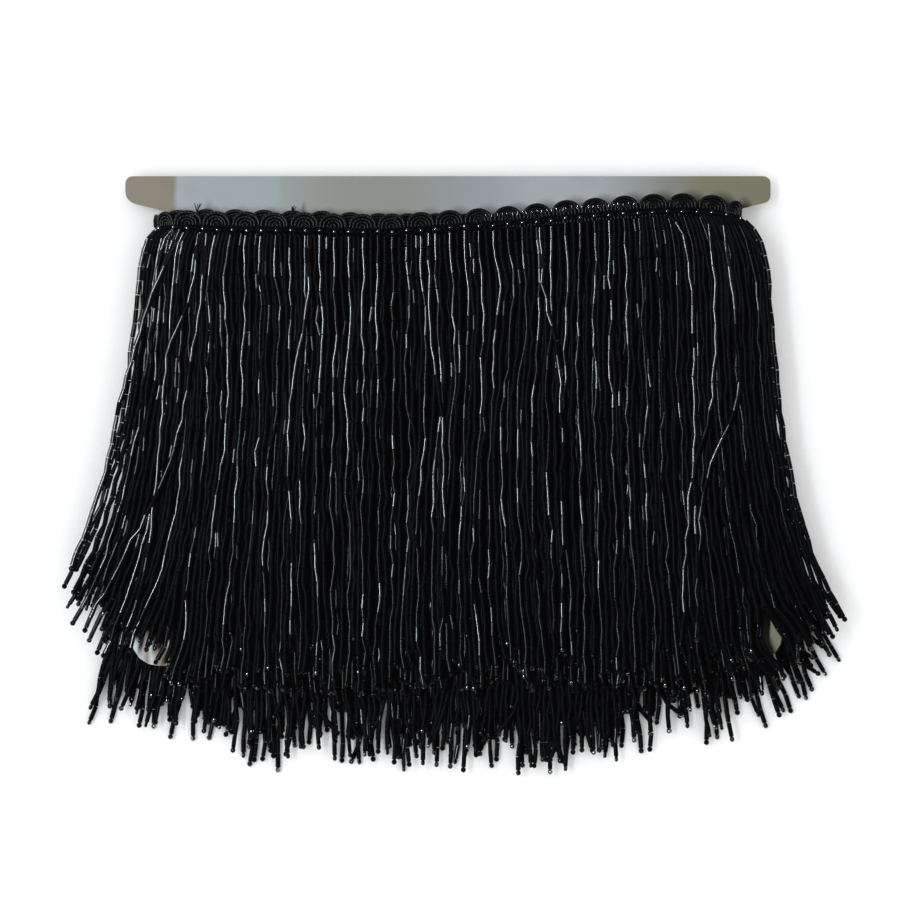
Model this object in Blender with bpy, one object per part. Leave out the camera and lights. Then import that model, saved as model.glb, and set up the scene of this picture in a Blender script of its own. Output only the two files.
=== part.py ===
"""Bugle bead fringe trim, wound in seven passes round a notched winding card, lying flat on its back.

The trim is one continuous gimp braid heading with strands of bugle beads along its lower edge. It lies in
four passes in front of the card and three behind it, each pass a layer of its own, with the heading running
round the card's edges in two notches. Sizes are in millimetres and angles in radians; mesh points are made
in metres.

The card frame has X along the heading, Y up the card with 0 at its top edge, and Z up from the surface. At
the end all pieces are moved together, so that the origin is at the bottom centre of the whole object's box.
"""

import math

import bpy
import numpy as np

METRE = 0.001  # one millimetre
TURN = 2 * math.pi

# Beads and braid
BUGLE_LENGTH = 6.0
SEED_LENGTH = 1.6
END_SEED_LENGTH = 2.6
END_MARGIN = 1.2  # from each end of a pass to its end strand
STRAND_PITCH = 6.0  # nearly: a whole number of them fills a pass
STRAND_WIDTH = 2.1
SCALLOP_PITCH = 12.0
HEADING_HEIGHT = 6.5  # from the scallops' crowns to the first beads
BACKING_HEIGHT = 2.2  # the lowest band of the heading, which carries the strands
VALLEY_DEPTH = 3.0  # between two scallops
TRIM_THICKNESS = 1.8
GAP = 0.3

# Winding
LAYER_PITCH = TRIM_THICKNESS + GAP
BACK_LAYERS = 3
TURN_RADIUS = 1.4  # of the heading's corners at the card's edges
TURN_STEPS = 3
NOTCH_HALF_WIDTH = 116.4  # from the card's middle to the foot of a notch

# Card
EARS_WIDTH = 270.0
CARD_THICKNESS = 1.2
TOP_CORNER_RADIUS = 3.0
EAR_DEPTH = 10.5  # height of an ear at the card's side
EAR_TIP_RADII = {"left": 5.0, "right": 3.0}
NOTCH_TOP = 15.2  # below the top edge, where an ear's underside meets the notch
NOTCH_BOTTOM = 25.8
SHOULDER_HALF_WIDTH = 128.5
SHOULDER = 27.0  # below the top edge
SHOULDER_RADIUS = 6.0
BOTTOM_CORNER_RADIUS = 11.0
CORNER_STEPS = 4

# The card's lower corners: it widens downwards, more on the right, and its lower edge runs up to the right
LOWER_LEFT = {"x": -132.6, "y": -205.0}
LOWER_RIGHT = {"x": 140.6, "y": -203.0}

# Shape of the fringe
EDGE_POWER = 4.5  # how fast the splay grows towards the ends
END_FLAT = {1: 0.955, -1: 1.0}  # share of half a pass, front and back, from which on all strands splay alike
SHORT_POWER = {1: 14.0, -1: 3.0}  # how close to the ends the strands get shorter, front and back
BOW_POWER = 4.0  # how square the bow of a sagging heading is
END_DROP_POWER = 13.0  # how late the front headings come down to the height of the turns
PEEK_FADE = 30.0
# At each side: kick is the share of the splay that is taken near the root, curl the share of a strand in
# which it is taken, and lean the share of the rest that grows evenly, while what is left grows with the cube
LEFT_SWING = {"kick": 0.17, "curl": 0.035, "lean": 0.36}
RIGHT_SWING = {"kick": 0.3, "curl": 0.07, "lean": 0.1}
END_CALM = 0.8  # share of the waves that the end strands lack
WAVE_START = 0.15  # share of a strand that stays straight from the root before it waves in full
OWN_WAVE = 1.0
OWN_WAVE_LENGTHS = (88.0, 151.0)
OWN_RIPPLE = 0.45
OWN_RIPPLE_LENGTHS = (38.0, 57.0)
SHARED_WAVE = 2.2
SHARED_WAVE_LENGTH = 195.0
SHARED_WAVE_ACROSS = (145.0, 232.0)
LEAN_LIMIT = 0.94  # sideways share of a strand's step, at most
KNOT_POWER = 1.25
PATH_STEPS = 192
FINE_STEPS = 1201
SLOPE_STEP = 0.5
SEED = 31

BACK_Z = TRIM_THICKNESS / 2
CARD_Z = BACK_LAYERS * LAYER_PITCH
FRONT_Z = CARD_Z + CARD_THICKNESS + GAP + TRIM_THICKNESS / 2
TURN_TOP = -16.0  # height of the scallops' crowns where the heading runs round the card

# Crowns of the outermost heading's scallops from left to right, below the card's top edge
HEADING_LINE = [
    {"x": -119.0, "y": -14.0},
    {"x": -106.0, "y": -14.8},
    {"x": -62.0, "y": -15.8},
    {"x": -24.0, "y": -16.3},
    {"x": 3.0, "y": -14.6},
    {"x": 27.0, "y": -12.9},
    {"x": 51.0, "y": -10.6},
    {"x": 75.0, "y": -8.7},
    {"x": 99.0, "y": -7.8},
    {"x": 110.0, "y": -8.6},
    {"x": 121.0, "y": -11.6},
]

# Places near the card's lower corners where the front strands part: reach is half the parting's width, fade
# how slowly the strands beside it close up again, and drop how far it runs up and down
PARTINGS = [
    {"x": -124.5, "y": -197.0, "reach": 6.0, "fade": 14.0, "drop": 20.0},
    {"x": 135.5, "y": -196.0, "reach": 4.0, "fade": 11.0, "drop": 16.0},
]

# The passes in the order in which they are wound. layer counts outwards from the card, sag is how far the
# heading hangs below its ends in the middle, peek_left and peek_right are how far it stands above the
# outermost one in each half, left and right are the end strands' splay, bugles is the usual count,
# short_left and short_right are how many fewer the end strands show, and scallop_start is where in a
# scallop the pass's braid begins.
PASSES = [
    {"name": "front_1", "side": 1, "layer": 1, "sag": 2.5, "peek_left": -1.0, "peek_right": -5.0,
     "left": 37.0, "right": 39.0, "bugles": 31, "short_left": 3, "short_right": 3,
     "segments": 5, "scallop_start": None},
    {"name": "back_1", "side": -1, "layer": 1, "sag": 36.5, "peek_left": 0.0, "peek_right": 0.0,
     "left": 34.0, "right": 44.0, "bugles": 31, "short_left": -2, "short_right": -1,
     "segments": 5, "scallop_start": None},
    {"name": "front_2", "side": 1, "layer": 2, "sag": 1.0, "peek_left": -1.0, "peek_right": -4.5,
     "left": 40.0, "right": 41.5, "bugles": 31, "short_left": 4, "short_right": 2,
     "segments": 5, "scallop_start": None},
    {"name": "back_2", "side": -1, "layer": 2, "sag": 34.5, "peek_left": 0.0, "peek_right": 0.0,
     "left": 31.0, "right": 42.0, "bugles": 31, "short_left": -2, "short_right": -1,
     "segments": 5, "scallop_start": None},
    {"name": "front_3", "side": 1, "layer": 3, "sag": 0.0, "peek_left": 1.2, "peek_right": -3.6,
     "left": 41.0, "right": 43.0, "bugles": 31, "short_left": 4, "short_right": 2,
     "segments": 6, "scallop_start": 0.0},
    {"name": "back_3", "side": -1, "layer": 3, "sag": 35.5, "peek_left": 0.0, "peek_right": 0.0,
     "left": 31.0, "right": 46.0, "bugles": 31, "short_left": -3, "short_right": -1,
     "segments": 6, "scallop_start": 0.0},
    {"name": "front_4", "side": 1, "layer": 4, "sag": 0.0, "peek_left": 0.0, "peek_right": 0.0,
     "left": 42.5, "right": 44.5, "bugles": 31, "short_left": 4, "short_right": 1,
     "segments": 8, "scallop_start": 0.5},
]
# How many lengths the strands of one pass have, at the front and at the back
UNEVEN = {1: 1.6, -1: 2.8}
# Where the heading climbs, the front strands show one bugle more
LONGER_FROM = 52.0
LONGER_TO = 112.0
for order, entry in enumerate(PASSES):
    entry["number"] = order


def hermite(at, xs, ys):
    """The smooth curve through the table's points, at each value of at."""
    slopes = np.gradient(ys, xs)
    i = np.clip(np.searchsorted(xs, at) - 1, 0, len(xs) - 2)
    step = xs[i + 1] - xs[i]
    t = np.clip((at - xs[i]) / step, 0.0, 1.0)
    start = (2 * t**3 - 3 * t**2 + 1) * ys[i] + (t**3 - 2 * t**2 + t) * step * slopes[i]
    end = (3 * t**2 - 2 * t**3) * ys[i + 1] + (t**3 - t**2) * step * slopes[i + 1]
    return start + end


def heading_top(line, x):
    """Height of the scallops' crowns of one pass at each x. All ends that turn round are at one height."""
    left, right = pass_ends(line)
    share = np.minimum(np.where(x < 0, x / left, x / right), 1.0)
    base = np.full_like(x, TURN_TOP)
    if line["side"] > 0:
        xs = np.array([row["x"] for row in HEADING_LINE])
        ys = np.array([row["y"] for row in HEADING_LINE])
        free_end = (x > 0) & (line["number"] == len(PASSES) - 1)
        fade = np.where(free_end, 1.0, 1 - share**END_DROP_POWER)
        left_half = 0.5 - 0.5 * np.tanh(x / PEEK_FADE)
        peek = line["peek_left"] * left_half + line["peek_right"] * (1 - left_half)
        base += fade * (hermite(x, xs, ys) - TURN_TOP + peek)
    return base - line["sag"] * (1 - share**BOW_POWER)


def pass_height(line):
    """Height of the middle of a pass above the surface."""
    if line["side"] > 0:
        return FRONT_Z + (line["layer"] - 1) * LAYER_PITCH
    return BACK_Z + (BACK_LAYERS - line["layer"]) * LAYER_PITCH


def edge_position(turn):
    """Distance from the card's middle to the heading's middle line in the given turn round the edge."""
    return NOTCH_HALF_WIDTH + GAP + TRIM_THICKNESS / 2 + turn * LAYER_PITCH


def pass_ends(line):
    """Where the heading of this pass starts and ends to run straight, as left and right x."""
    number = line["number"]
    turn = number // 2
    left = edge_position(turn if number % 2 or turn == 0 else turn - 1) - TURN_RADIUS
    right = edge_position(turn) - TURN_RADIUS
    if number == len(PASSES) - 1:
        right = edge_position(turn - 1) - GAP
    return -left, right


def lower_edge(line, x):
    """Points of a pass's lower edge at each x, with the unit vector across the heading, pointing down."""
    y = heading_top(line, x) - HEADING_HEIGHT
    slope = (heading_top(line, x + SLOPE_STEP) - heading_top(line, x - SLOPE_STEP)) / (2 * SLOPE_STEP)
    down = np.stack([slope, -np.ones_like(slope)], axis=1) / np.hypot(slope, 1.0)[:, None]
    return np.stack([x, y], axis=1), down


def root_positions(line, left, right):
    """The x of each strand's root, evenly spaced along the pass's lower edge."""
    x = np.linspace(left, right, FINE_STEPS)
    edge, _ = lower_edge(line, x)
    run = np.concatenate([[0.0], np.cumsum(np.hypot(*np.diff(edge, axis=0).T))])
    gaps = round((run[-1] - 2 * END_MARGIN) / STRAND_PITCH)
    return np.interp(np.linspace(END_MARGIN, run[-1] - END_MARGIN, gaps + 1), run, x)


def own_wave(rng, run, lengths):
    """A sine along each strand, with a random length between the two given and a random start."""
    count = len(run)
    return np.sin(TURN * (run / rng.uniform(*lengths, (count, 1)) + rng.random((count, 1))))


def parted(x, y):
    """x pushed away from the middle of each parting: most beside it, and less further off, up and down."""
    for place in PARTINGS:
        level = np.argmin(np.abs(y - place["y"]), axis=1)[:, None]
        away = np.take_along_axis(x, level, axis=1) - place["x"]
        fade = np.exp(-np.abs(away) / place["fade"] - ((y - place["y"]) / place["drop"]) ** 2)
        x = x + np.sign(away) * place["reach"] * fade
    return x


def strand_paths(line):
    """Paths of all strands of a pass in the plane of their layer, as strands x steps x (x, y).

    A strand leaves its root outwards, turns down and swings out again towards its tip, and it has a slow wave
    that it shares with its neighbours, and a smaller one of its own. Its y follows from its length.
    """
    left, right = pass_ends(line)
    roots, _ = lower_edge(line, root_positions(line, left, right))
    rng = np.random.default_rng(SEED + line["number"])
    count = len(roots)
    on_left = roots[:, 0] < 0
    edge = np.where(on_left, roots[:, 0] / roots[0, 0], roots[:, 0] / roots[-1, 0])
    spread = np.minimum(edge / END_FLAT[line["side"]], 1.0) ** EDGE_POWER
    splay = np.where(on_left, -line["left"], line["right"]) * spread
    short = np.where(on_left, line["short_left"], line["short_right"]) * edge ** SHORT_POWER[line["side"]]
    bugles = line["bugles"] - np.round(short) - np.floor(rng.random(count) * UNEVEN[line["side"]])
    if line["side"] > 0:
        bugles += (roots[:, 0] > LONGER_FROM) & (roots[:, 0] < LONGER_TO)
    length = SEED_LENGTH + bugles * BUGLE_LENGTH + END_SEED_LENGTH

    s = np.linspace(0.0, 1.0, PATH_STEPS + 1)[None, :]
    kick, curl, lean = (
        np.where(on_left, LEFT_SWING[key], RIGHT_SWING[key])[:, None] for key in ("kick", "curl", "lean")
    )
    swing = kick * (1 - np.exp(-s / curl)) + (1 - kick) * (lean * s + (1 - lean) * s**3)
    ramp = np.clip(s / WAVE_START, 0.0, 1.0) ** 2 * (1 - END_CALM * spread[:, None])
    run = s * length[:, None]
    wave = OWN_WAVE * rng.uniform(0.2, 1.0, (count, 1)) * own_wave(rng, run, OWN_WAVE_LENGTHS)
    wave += OWN_RIPPLE * own_wave(rng, run, OWN_RIPPLE_LENGTHS)
    across = roots[:, :1]
    wave += (
        SHARED_WAVE
        * np.sin(TURN * (run / SHARED_WAVE_LENGTH + across / SHARED_WAVE_ACROSS[0]))
        * np.sin(TURN * across / SHARED_WAVE_ACROSS[1] + line["side"])
    )
    x = roots[:, :1] + splay[:, None] * swing + ramp * wave
    if line["side"] > 0:
        x = parted(x, roots[:, 1:] - run)
    step = (length / PATH_STEPS)[:, None]
    sideways = np.clip(np.diff(x, axis=1) / step, -LEAN_LIMIT, LEAN_LIMIT)
    fall = np.concatenate([np.zeros((count, 1)), np.cumsum(step * np.sqrt(1 - sideways**2), axis=1)], axis=1)
    x = roots[:, :1] + np.concatenate([np.zeros((count, 1)), np.cumsum(step * sideways, axis=1)], axis=1)
    return np.stack([x, roots[:, 1:] - fall], axis=2)


def knots(path, segments):
    """A path's points at the ends of its segments, which are shorter near the root."""
    share = np.linspace(0.0, 1.0, segments + 1) ** KNOT_POWER
    return path[:, np.round(share * PATH_STEPS).astype(int)]


def make_object(name, points, faces, material):
    mesh = bpy.data.meshes.new(name)
    mesh.from_pydata((np.asarray(points) * METRE).tolist(), [], faces)
    mesh.materials.append(material)
    mesh.validate()
    mesh.update()
    made = bpy.data.objects.new(name, mesh)
    bpy.context.scene.collection.objects.link(made)
    return made


def make_material(name, colour, roughness, metallic=0.0):
    material = bpy.data.materials.new(name)
    material.use_nodes = True
    shader = material.node_tree.nodes["Principled BSDF"]
    shader.inputs["Base Color"].default_value = (*colour, 1.0)
    shader.inputs["Roughness"].default_value = roughness
    shader.inputs["Metallic"].default_value = metallic
    return material


def make_fringe(line, material):
    """One pass's strands, three-sided and flat below, grown out of the lower edge of one narrow backing."""
    middle = pass_height(line)
    low = middle - TRIM_THICKNESS / 2
    high = middle + TRIM_THICKNESS / 2
    left, right = pass_ends(line)
    roots, down = lower_edge(line, root_positions(line, left, right))
    paths = knots(strand_paths(line), line["segments"])
    tangent = np.stack([-down[:, 1], down[:, 0]], axis=1)
    points = []
    faces = []

    def add(xy, z):
        points.append((xy[0], xy[1], z))
        return len(points) - 1

    def station(xy, up, lower):
        """The backing's four corners at one place: lower edge low and high, upper edge low and high."""
        top = xy + up * BACKING_HEIGHT
        return {"low": lower, "upper_low": add(top, low), "upper_high": add(top, high)}

    ends = []
    for xy, away in zip(*lower_edge(line, np.array([left, right]))):
        corner = station(xy, -away, (add(xy, low),) * 2)
        corner["high"] = add(xy, high)
        ends.append(corner)

    stations = [ends[0]]
    half = STRAND_WIDTH / 2
    for root, away, side, path in zip(roots, down, tangent, paths):
        corners = (add(root - side * half, low), add(root + side * half, low))
        here = station(root, -away, corners)
        here["high"] = add(root, high)
        stations.append(here)
        ring = [corners[0], corners[1], here["high"]]
        for k in range(1, len(path)):
            ahead = path[min(k + 1, len(path) - 1)] - path[k - 1]
            ahead = ahead / np.hypot(*ahead)
            across = np.array([-ahead[1], ahead[0]]) * half
            new = [add(path[k] - across, low), add(path[k] + across, low), add(path[k], high)]
            for a, b in ((0, 1), (1, 2), (2, 0)):
                faces.append([ring[a], ring[b], new[b], new[a]])
            ring = new
        faces.append(ring)
        faces.append([corners[1], corners[0], here["upper_low"]])
    stations.append(ends[1])

    for a, b in zip(stations[:-1], stations[1:]):
        faces.append([a["low"][1], b["low"][0], b["high"], a["high"]])
        faces.append([a["high"], b["high"], b["upper_high"], a["upper_high"]])
        faces.append([a["upper_high"], b["upper_high"], b["upper_low"], a["upper_low"]])
        faces.append([a["upper_low"], b["upper_low"], b["low"][0], a["low"][1]])
    first = stations[0]
    last = stations[-1]
    faces.append([first["low"][0], first["high"], first["upper_high"], first["upper_low"]])
    faces.append([last["low"][0], last["upper_low"], last["upper_high"], last["high"]])
    return make_object("fringe_" + line["name"], points, faces, material)


def turn_points(x, side, z_from, z_to, y):
    """The heading's middle line round the card's edge: two rounded corners and the straight between them."""
    rise = math.copysign(1.0, z_to - z_from)
    points = []
    for k in range(1, TURN_STEPS + 1):
        angle = k * math.pi / 2 / TURN_STEPS
        reach = TURN_RADIUS * (1 - math.sin(angle))
        points.append((x - side * reach, y, z_from + rise * TURN_RADIUS * (1 - math.cos(angle))))
    for k in range(TURN_STEPS):
        angle = k * math.pi / 2 / TURN_STEPS
        reach = TURN_RADIUS * (1 - math.cos(angle))
        points.append((x - side * reach, y, z_to - rise * TURN_RADIUS * (1 - math.sin(angle))))
    return points


def heading_stations():
    """Middle line of the whole trim's lower edge, with the braid's height above the backing at each point."""
    stations = []
    full = HEADING_HEIGHT - BACKING_HEIGHT - GAP
    for number, line in enumerate(PASSES):
        left, right = pass_ends(line)
        scalloped = line["scallop_start"] is not None
        steps = 4 if scalloped else 2
        scallops = round((right - left) / SCALLOP_PITCH)
        x = np.linspace(left, right, scallops * steps + 1)
        if number % 2:
            x = x[::-1]
        height = np.full(len(x), full)
        if scalloped:
            arch = (np.arange(len(x)) / steps + line["scallop_start"]) % 1.0
            height -= VALLEY_DEPTH * (1 - np.sin(math.pi * arch)) ** 2
        y = heading_top(line, x) - HEADING_HEIGHT
        z = pass_height(line)
        stations += [((px, py, z), high) for px, py, high in zip(x, y, height)]
        if number == len(PASSES) - 1:
            break
        side = 1 if number % 2 == 0 else -1
        after = PASSES[number + 1]
        edge = side * edge_position(number // 2)
        turn = turn_points(edge, side, z, pass_height(after), TURN_TOP - HEADING_HEIGHT)
        stations += [(point, full) for point in turn]
    return stations


def make_heading(material):
    """The wound gimp braid as one ribbon on edge, with scalloped upper edge where it shows."""
    stations = heading_stations()
    line = np.array([point for point, _ in stations])
    height = np.array([high for _, high in stations])
    along_line = np.gradient(line, axis=0)
    along_line /= np.linalg.norm(along_line, axis=1)[:, None]
    level = along_line * (1.0, 1.0, 0.0)
    up = np.array([0.0, 1.0, 0.0]) - level * level[:, 1:2]
    up /= np.linalg.norm(up, axis=1)[:, None]
    across = np.cross(along_line, up)
    across *= TRIM_THICKNESS / 2 / np.linalg.norm(across, axis=1)[:, None]
    bottom = line + up * (BACKING_HEIGHT + GAP)
    top = bottom + up * height[:, None]
    rings = np.stack([bottom - across, bottom + across, top + across, top - across], axis=1)
    points = rings.reshape(-1, 3)
    faces = []
    for k in range(len(line) - 1):
        for a in range(4):
            b = (a + 1) % 4
            faces.append([4 * k + b, 4 * k + a, 4 * k + 4 + a, 4 * k + 4 + b])
    last = 4 * (len(line) - 1)
    faces.append([0, 1, 2, 3])
    faces.append([last + 3, last + 2, last + 1, last])
    return make_object("heading", points, faces, material)


def rounded(corners):
    """An outline whose corners, given as x, y and radius, are rounded by arcs of CORNER_STEPS steps."""
    outline = []
    for k, (x, y, radius) in enumerate(corners):
        here = np.array([x, y])
        if radius == 0:
            outline.append(here)
            continue
        before = np.array(corners[k - 1][:2]) - here
        after = np.array(corners[(k + 1) % len(corners)][:2]) - here
        before /= np.hypot(*before)
        after /= np.hypot(*after)
        half_angle = math.acos(float(np.clip(before @ after, -1, 1))) / 2
        reach = radius / math.tan(half_angle)
        bisector = (before + after) / np.hypot(*(before + after))
        centre = here + bisector * radius / math.sin(half_angle)
        start = here + before * reach - centre
        turn = math.pi - 2 * half_angle
        sign = math.copysign(1.0, before[0] * after[1] - before[1] * after[0]) * -1
        for step in range(CORNER_STEPS + 1):
            angle = sign * turn * step / CORNER_STEPS
            c, s = math.cos(angle), math.sin(angle)
            turned = np.array([c * start[0] - s * start[1], s * start[0] + c * start[1]])
            outline.append(centre + turned)
    return outline


def make_card(material):
    """The winding card: a flat board with an ear at each upper corner and a notch for the heading."""
    half = EARS_WIDTH / 2

    def upper_side(ear_tip_radius):
        """Corners of the right side above its lower one, upwards."""
        return [
            (SHOULDER_HALF_WIDTH, -SHOULDER, SHOULDER_RADIUS),
            (NOTCH_HALF_WIDTH, -NOTCH_BOTTOM, 0),
            (NOTCH_HALF_WIDTH, -NOTCH_TOP, 0),
            (half, -EAR_DEPTH, ear_tip_radius),
            (half, 0.0, TOP_CORNER_RADIUS),
        ]

    corners = [(LOWER_RIGHT["x"], LOWER_RIGHT["y"], BOTTOM_CORNER_RADIUS)]
    corners += upper_side(EAR_TIP_RADII["right"])
    corners += [(-x, y, radius) for x, y, radius in reversed(upper_side(EAR_TIP_RADII["left"]))]
    corners.append((LOWER_LEFT["x"], LOWER_LEFT["y"], BOTTOM_CORNER_RADIUS))
    outline = rounded(corners)
    count = len(outline)
    points = [(x, y, CARD_Z) for x, y in outline]
    points += [(x, y, CARD_Z + CARD_THICKNESS) for x, y in outline]
    faces = [list(range(count))[::-1], list(range(count, 2 * count))]
    faces += [[k, (k + 1) % count, count + (k + 1) % count, count + k] for k in range(count)]
    return make_object("card", points, faces, material)


def put_origin_at_bottom_centre(pieces):
    """Moves all pieces together, so that the whole box stands on the origin's plane, centred over it."""
    corners = np.array([tuple(v.co) for piece in pieces for v in piece.data.vertices])
    low = corners.min(axis=0)
    high = corners.max(axis=0)
    for piece in pieces:
        piece.location = (-(low[0] + high[0]) / 2, -(low[1] + high[1]) / 2, -low[2])


def main():
    for old in list(bpy.data.objects):
        bpy.data.objects.remove(old, do_unlink=True)
    pieces = [
        make_card(make_material("card_board", (0.38, 0.38, 0.37), 0.45)),
        make_heading(make_material("gimp_braid", (0.006, 0.006, 0.007), 0.5)),
    ]
    for line in PASSES:
        beads = make_material("bead_glass_" + line["name"], (0.004, 0.004, 0.005), 0.08)
        pieces.append(make_fringe(line, beads))
    put_origin_at_bottom_centre(pieces)


main()
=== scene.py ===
# Bugle bead fringe trim, wound in seven passes round a notched card and laid flat on its back.
# The trim's lengths are millimetres in the card's own frame: X along the heading, Y up the card with
# 0 at its top edge, Z up from the surface. They become metres where a mesh is filled. Looks, lights
# and camera are in metres.

import math

import bpy
import numpy as np
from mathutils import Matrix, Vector


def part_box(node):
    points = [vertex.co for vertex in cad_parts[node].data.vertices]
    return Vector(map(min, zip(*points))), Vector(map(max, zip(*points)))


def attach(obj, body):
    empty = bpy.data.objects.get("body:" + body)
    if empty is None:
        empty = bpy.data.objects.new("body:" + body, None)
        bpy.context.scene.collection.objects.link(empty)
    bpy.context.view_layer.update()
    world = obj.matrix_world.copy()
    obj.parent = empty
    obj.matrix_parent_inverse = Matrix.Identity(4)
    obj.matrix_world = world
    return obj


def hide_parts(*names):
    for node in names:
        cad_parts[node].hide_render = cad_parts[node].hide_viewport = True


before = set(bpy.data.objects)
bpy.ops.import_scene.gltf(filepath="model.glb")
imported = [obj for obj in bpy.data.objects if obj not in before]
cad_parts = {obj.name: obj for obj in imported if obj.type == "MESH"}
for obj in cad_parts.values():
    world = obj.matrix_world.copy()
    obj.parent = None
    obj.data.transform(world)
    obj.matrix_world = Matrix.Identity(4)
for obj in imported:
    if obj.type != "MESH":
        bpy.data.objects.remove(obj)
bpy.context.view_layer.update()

mm = 0.001
fullTurn = 2 * math.pi
skyward = np.array([0.0, 0.0, 1.0])

# The card's left ear ends earReach from X 0, strands further out than halfWidth have no card under
# them, and the card's underside lies at the height that bottom gives
cardLow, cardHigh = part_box("card")
cardSize = {"halfWidth": 134.0, "earReach": 135.0, "bottom": 6.3}
origin = np.array([
    cardLow[0] + cardSize["earReach"] * mm, cardHigh[1], cardLow[2] - cardSize["bottom"] * mm,
])

# The trim's own sizes, the same as the solids have
trim = {
    "bugleLength": 6.0,
    "seedLength": 1.6,
    "endSeedLength": 2.6,
    "endMargin": 1.2,
    "strandPitch": 6.0,
    "scallopPitch": 12.0,
    "headingHeight": 6.5,
    "thickness": 1.8,
    "gap": 0.3,
    "layerPitch": 2.1,
    "backLayers": 3,
    "turnRadius": 1.4,
    "notchHalfWidth": 116.4,
    "turnTop": -16.0,
    "backHeight": 0.9,
    "frontHeight": 8.7,
}

# How the fringe falls: the splay of the end strands, and the waves of all of them. A key of 1 is for
# the passes in front, and one of -1 for those behind
fall = {
    "edgePower": 4.5,
    "endFlat": {1: 0.955, -1: 1.0},
    "shortPower": {1: 14.0, -1: 3.0},
    "bowPower": 4.0,
    "endDropPower": 13.0,
    "peekFade": 30.0,
    "leftSwing": {"kick": 0.17, "curl": 0.035, "lean": 0.36},
    "rightSwing": {"kick": 0.3, "curl": 0.07, "lean": 0.1},
    "endCalm": 0.8,
    "uneven": {1: 1.6, -1: 2.8},
    "waveStart": 0.15,
    "longerFrom": 52.0,
    "longerTo": 112.0,
    "ownWave": 1.0,
    "ownWaveShares": (0.2, 1.0),
    "ownWaveLengths": (88.0, 151.0),
    "ownRipple": 0.45,
    "ownRippleLengths": (38.0, 57.0),
    "sharedWave": 2.2,
    "sharedWaveLength": 195.0,
    "sharedWaveAcross": (145.0, 232.0),
    "leanLimit": 0.94,
    "pathSteps": 192,
    "fineSteps": 1201,
    "seed": 31,
}

# Crowns of the outermost heading from left to right
headingX = np.array([-119.0, -106.0, -62.0, -24.0, 3.0, 27.0, 51.0, 75.0, 99.0, 110.0, 121.0])
headingY = np.array([-14.0, -14.8, -15.8, -16.3, -14.6, -12.9, -10.6, -8.7, -7.8, -8.6, -11.6])

# Places near the card's lower corners where the front strands part. Reach is how far they move aside,
# and fade and drop say how soon that ends across and down
partings = [
    {"x": -124.5, "y": -197.0, "reach": 6.0, "fade": 14.0, "drop": 20.0},
    {"x": 136.6, "y": -198.0, "reach": 5.8, "fade": 11.0, "drop": 12.0},
]

# Strands that stand between the solids' own ones: how many at least in each gap of a pass, and how
# far apart the tips may stand before there are more
density = {
    "least": {
        "front_1": 2, "back_1": 2, "front_2": 2, "back_2": 2, "front_3": 0, "back_3": 1, "front_4": 0,
    },
    "edge": 5,
    "edgeLeast": 3,
    "tipPitch": 2.7,
    "most": 5,
    "swing": 0.7,
    "swingRates": (2.0, 7.0),
    "shorter": 3,
    "tipLean": 3.2,
    "leanMost": 4.5,
    "leanFrom": 0.86,
    "leanPower": 1.5,
}

# The passes in winding order. Left and right say how far the tips splay there, and short by how many
# bugles the end strands are shorter
passKeys = (
    "name", "side", "layer", "sag", "peekLeft", "peekRight", "left", "right", "bugles", "shortLeft",
    "shortRight", "scallopStart",
)
passRows = [
    ("front_1", 1, 1, 2.5, -1.0, -5.0, 37.0, 39.0, 31, 3, 3, 0.0),
    ("back_1", -1, 1, 36.5, 0.0, 0.0, 34.0, 44.0, 31, -2, -1, 0.0),
    ("front_2", 1, 2, 1.0, -1.0, -4.5, 40.0, 41.5, 31, 4, 2, 0.5),
    ("back_2", -1, 2, 34.5, 0.0, 0.0, 31.0, 42.0, 31, -2, -1, 0.0),
    ("front_3", 1, 3, 0.0, 1.2, -3.6, 41.0, 43.0, 31, 4, 2, 0.0),
    ("back_3", -1, 3, 35.5, 0.0, 0.0, 31.0, 46.0, 31, -3, -1, 0.0),
    ("front_4", 1, 4, 0.0, 0.0, 0.0, 42.5, 44.5, 31, 4, 1, 0.5),
]
passes = [dict(zip(passKeys, row), number=number) for number, row in enumerate(passRows)]


def outermost(line):
    return line["number"] == len(passes) - 1


# A cubic Hermite curve through the points, with the mean slopes of each point's neighbours
def smoothCurve(at, xs, ys):
    slopes = np.gradient(ys, xs)
    i = np.clip(np.searchsorted(xs, at) - 1, 0, len(xs) - 2)
    step = xs[i + 1] - xs[i]
    t = np.clip((at - xs[i]) / step, 0.0, 1.0)
    start = (2 * t**3 - 3 * t**2 + 1) * ys[i] + (t**3 - 2 * t**2 + t) * step * slopes[i]
    end = (3 * t**2 - 2 * t**3) * ys[i + 1] + (t**3 - t**2) * step * slopes[i + 1]
    return start + end


# 0 up to the start, 1 from the end on, and even between them
def ramp(value, start, end):
    return np.clip((value - start) / (end - start), 0.0, 1.0)


# Length along a row of points from its first one: the running sum of the steps between them
def lengthAlong(points):
    steps = np.linalg.norm(np.diff(points, axis=-2), axis=-1)
    return np.concatenate([np.zeros_like(steps[..., :1]), np.cumsum(steps, axis=-1)], axis=-1)


def edgePosition(turn):
    return trim["notchHalfWidth"] + trim["gap"] + trim["thickness"] / 2 + turn * trim["layerPitch"]


def passEnds(line):
    number = line["number"]
    turn = number // 2
    left = edgePosition(turn if number % 2 or turn == 0 else turn - 1) - trim["turnRadius"]
    right = edgePosition(turn) - trim["turnRadius"]
    if outermost(line):
        right = edgePosition(turn - 1) - trim["gap"]
    return -left, right


def passHeight(line):
    if line["side"] > 0:
        return trim["frontHeight"] + (line["layer"] - 1) * trim["layerPitch"]
    return trim["backHeight"] + (trim["backLayers"] - line["layer"]) * trim["layerPitch"]


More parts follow.
